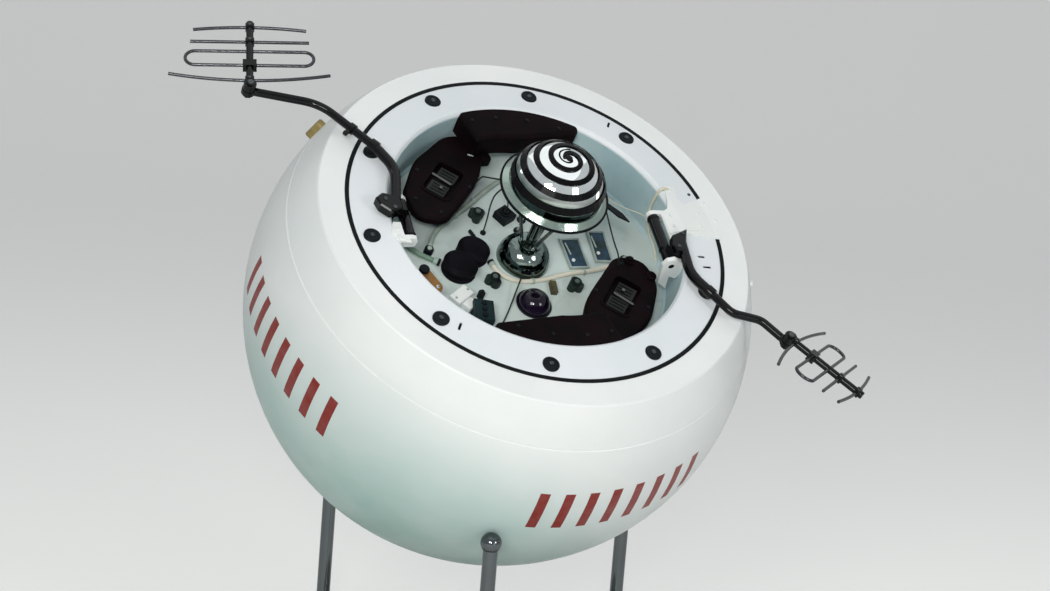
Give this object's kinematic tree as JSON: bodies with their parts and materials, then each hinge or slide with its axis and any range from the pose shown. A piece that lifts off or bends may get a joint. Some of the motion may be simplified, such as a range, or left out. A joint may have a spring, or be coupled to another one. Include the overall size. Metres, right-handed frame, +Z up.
{
  "type": "descent capsule on a stand",
  "caption": "Round descent capsule with an open equipment compartment, spiral antenna and folding antenna booms, leaning on a three-post display stand.",
  "frame": {"origin": "centre of the round base plate on the floor", "axes": "+Z up, -Y towards the front post and the viewer, +X to the viewer's right; the capsule's axis leans 42 degrees from +Z towards azimuth -72 degrees"},
  "size_m": [1.3581, 0.9946, 1.3298],
  "materials": {
    "amber_resin": "gloss",
    "antenna_steel": "gloss",
    "base_paint": "satin",
    "beige_sleeve": "matt",
    "bellows_rubber": "matt",
    "boom_paint": "gloss",
    "bracket_paint": "satin",
    "container_steel": "brushed",
    "dome_chrome": "polished",
    "fitting_brass": "dull",
    "flange_paint": "satin",
    "grey_rubber": "matt",
    "hardware_paint": "satin",
    "housing_plastic": "matt",
    "hull_paint": "satin",
    "plug_plastic": "satin",
    "seal_rubber": "matt",
    "sensor_gloss": "gloss",
    "skirt_resin": "gloss",
    "stand_chrome": "polished",
    "stem_steel": "polished, dark",
    "strut_steel": "satin",
    "tape_paint": "gloss",
    "tub_paint": "satin",
    "white_plastic": "satin",
    "window_glass": "polished"
  },
  "bodies": {
    "capsule": {"amber_sensor": "amber_resin", "amber_valve": "amber_resin", "antenna_dome": "dome_chrome", "antenna_rim": "seal_rubber", "antenna_skirt": "skirt_resin", "antenna_stem": "stem_steel", "antenna_struts": "strut_steel", "antenna_tape": "tape_paint", "base_plate": "base_paint", "beige_hose": "beige_sleeve", "boom_bracket_left": "bracket_paint", "boom_bracket_right": "bracket_paint", "brown_block": "fitting_brass", "corner_unit": "housing_plastic", "equipment_tub": "tub_paint", "face_seal": "seal_rubber", "feed_spike": "tape_paint", "flange_plugs": "plug_plastic", "grey_hose": "grey_rubber", "hatch_flange": "flange_paint", "housing_lobe_lower": "housing_plastic", "housing_lobe_upper": "housing_plastic", "housing_rail_lower": "housing_plastic", "housing_rail_upper": "housing_plastic", "hull_knob": "hull_paint", "instrument_container": "container_steel", "lead_along_floor": "beige_sleeve", "lead_to_floor": "beige_sleeve", "lead_to_lower_lobe": "beige_sleeve", "lead_to_upper_lobe": "beige_sleeve", "lobed_fittings": "fitting_brass", "lower_hull": "hull_paint", "post_front": "stand_chrome", "post_left": "stand_chrome", "post_right": "stand_chrome", "sensor_dome": "sensor_gloss", "square_connector": "plug_plastic", "tub_floor_panel": "tub_paint", "twin_bellows": "bellows_rubber", "upper_hull": "hull_paint", "wall_hose": "grey_rubber", "white_block": "white_plastic", "window_bar_lower": "strut_steel", "window_bar_upper": "strut_steel", "window_frame_inner": "hardware_paint", "window_frame_outer": "hardware_paint", "window_hardware_lower": "hardware_paint", "window_hardware_upper": "hardware_paint", "window_pane_inner": "window_glass", "window_pane_outer": "window_glass"},
    "boom_left": {"boom_left": "boom_paint"},
    "head_left": {"antenna_mast_left": "antenna_steel", "antenna_rods_left": "antenna_steel", "folded_dipole_left": "antenna_steel"},
    "boom_right": {"boom_right": "boom_paint"},
    "head_right": {"antenna_mast_right": "antenna_steel", "antenna_rods_right": "antenna_steel", "folded_dipole_right": "antenna_steel"}
  },
  "joints": [
    {"name": "boom_left_fold", "type": "hinge", "parent": "capsule", "child": "boom_left", "pos_m": [-0.19863, -0.25267, 0.99146], "axis": [-0.2611, 0.6961, 0.6688], "range_deg": [0, 95]},
    {"name": "head_left_turn", "type": "hinge", "parent": "boom_left", "child": "head_left", "pos_m": [-0.50593, -0.14398, 1.20098], "axis": [0.2068, -0.6364, 0.7431], "range_deg": [-5, 47]},
    {"name": "boom_right_fold", "type": "hinge", "parent": "capsule", "child": "boom_right", "pos_m": [0.2966, -0.11007, 0.97577], "axis": [0.2611, -0.6961, -0.6688], "range_deg": [0, 95]},
    {"name": "head_right_turn", "type": "hinge", "parent": "boom_right", "child": "head_right", "pos_m": [0.52944, -0.25752, 0.81567], "axis": [0.2068, -0.6364, 0.7431], "range_deg": [-47, 5]}
  ]
}
